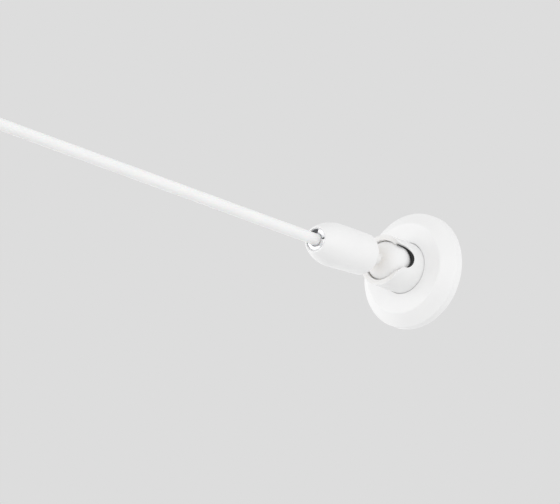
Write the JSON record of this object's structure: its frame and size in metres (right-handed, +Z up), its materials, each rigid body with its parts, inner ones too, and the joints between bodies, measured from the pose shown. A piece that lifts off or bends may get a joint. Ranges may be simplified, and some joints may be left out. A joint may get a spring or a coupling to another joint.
{
  "type": "curtain wire with wall brackets",
  "caption": "White coated steel tension wire for curtains, stretched between wall brackets with swivel balls and screw tensioners.",
  "frame": {"origin": "midway between the two wall faces, on the brackets' common axis", "axes": "+X along the cable towards the right-hand wall, +Z up, -Y towards the room (both post slots face it)"},
  "size_m": [0.365, 0.05, 0.05],
  "materials": {
    "enamel": "smooth white powder coat, semi-gloss",
    "sheath": "white PVC, satin",
    "nylon": "black moulded nylon",
    "rubber": "black rubber",
    "chrome": "bright chrome plate",
    "steel": "zinc-plated steel",
    "brass": "turned brass"
  },
  "bodies": {
    "right_wall": {"right_wall_plate": "steel", "right_plate_ring": "rubber", "right_flange_cover": "enamel", "right_post_stud": "steel", "right_friction_washer": "nylon"},
    "right_post_cup": {"right_post": "enamel", "right_socket_liner": "nylon", "right_swivel_pin": "steel"},
    "right_ball": {"right_ball_stud": "enamel", "right_end_clip": "steel"},
    "cable_line": {"cable_sheath": "sheath", "cable_core": "steel", "right_clamp_sleeve": "chrome", "right_clamp_jaw_upper": "chrome", "right_clamp_jaw_lower": "chrome", "right_clamp_spring": "steel", "right_clamp_cap": "steel", "left_clamp_sleeve": "chrome", "left_clamp_jaw_upper": "chrome", "left_clamp_jaw_lower": "chrome", "left_clamp_spring": "steel", "left_clamp_cap": "steel"},
    "right_tensioner": {"right_barrel": "enamel", "right_tension_nut": "brass", "right_thrust_washer": "brass"},
    "left_tensioner": {"left_barrel": "enamel", "left_tension_nut": "brass", "left_thrust_washer": "brass"},
    "left_ball": {"left_ball_stud": "enamel", "left_end_clip": "steel"},
    "left_post_cup": {"left_post": "enamel", "left_socket_liner": "nylon", "left_swivel_pin": "steel"},
    "left_wall": {"left_wall_plate": "steel", "left_plate_ring": "rubber", "left_flange_cover": "enamel", "left_post_stud": "steel", "left_friction_washer": "nylon"}
  },
  "joints": [
    {"name": "right_post_turn", "type": "hinge", "parent": "right_wall", "child": "right_post_cup", "pos_m": [0.1825, 0, 0], "axis": [1, 0, 0], "continuous": true},
    {"name": "right_swivel", "type": "hinge", "parent": "right_post_cup", "child": "right_ball", "pos_m": [0.164, 0, 0], "axis": [0, 0.0645, 0.9979], "range_deg": [-34, 78]},
    {"name": "right_take_up", "type": "slide", "parent": "right_ball", "child": "cable_line", "axis": [-0.9995, 0, -0.0319], "range_m": [-0.0055, 0.0015]},
    {"name": "right_barrel_spin", "type": "hinge", "parent": "cable_line", "child": "right_tensioner", "pos_m": [0.164, 0, 0], "axis": [-0.9995, 0, -0.0319], "range_deg": [-1985, 545]},
    {"name": "left_barrel_spin", "type": "hinge", "parent": "cable_line", "child": "left_tensioner", "pos_m": [-0.164, 0, 0], "axis": [0.9995, 0, -0.0319], "range_deg": [-1985, 545]},
    {"name": "left_take_up", "type": "slide", "parent": "cable_line", "child": "left_ball", "axis": [-0.9995, 0, 0.0319], "range_m": [-0.0055, 0.0015]},
    {"name": "left_swivel", "type": "hinge", "parent": "left_ball", "child": "left_post_cup", "pos_m": [-0.164, 0, 0], "axis": [0, 0.0645, 0.9979], "range_deg": [-34, 78]},
    {"name": "left_post_turn", "type": "hinge", "parent": "left_post_cup", "child": "left_wall", "pos_m": [-0.1825, 0, 0], "axis": [1, 0, 0], "continuous": true}
  ],
  "couplings": [
    {"joint": "right_barrel_spin", "follows": "right_take_up", "rad_per_m": 6283.2},
    {"joint": "left_barrel_spin", "follows": "left_take_up", "rad_per_m": 6283.2}
  ]
}
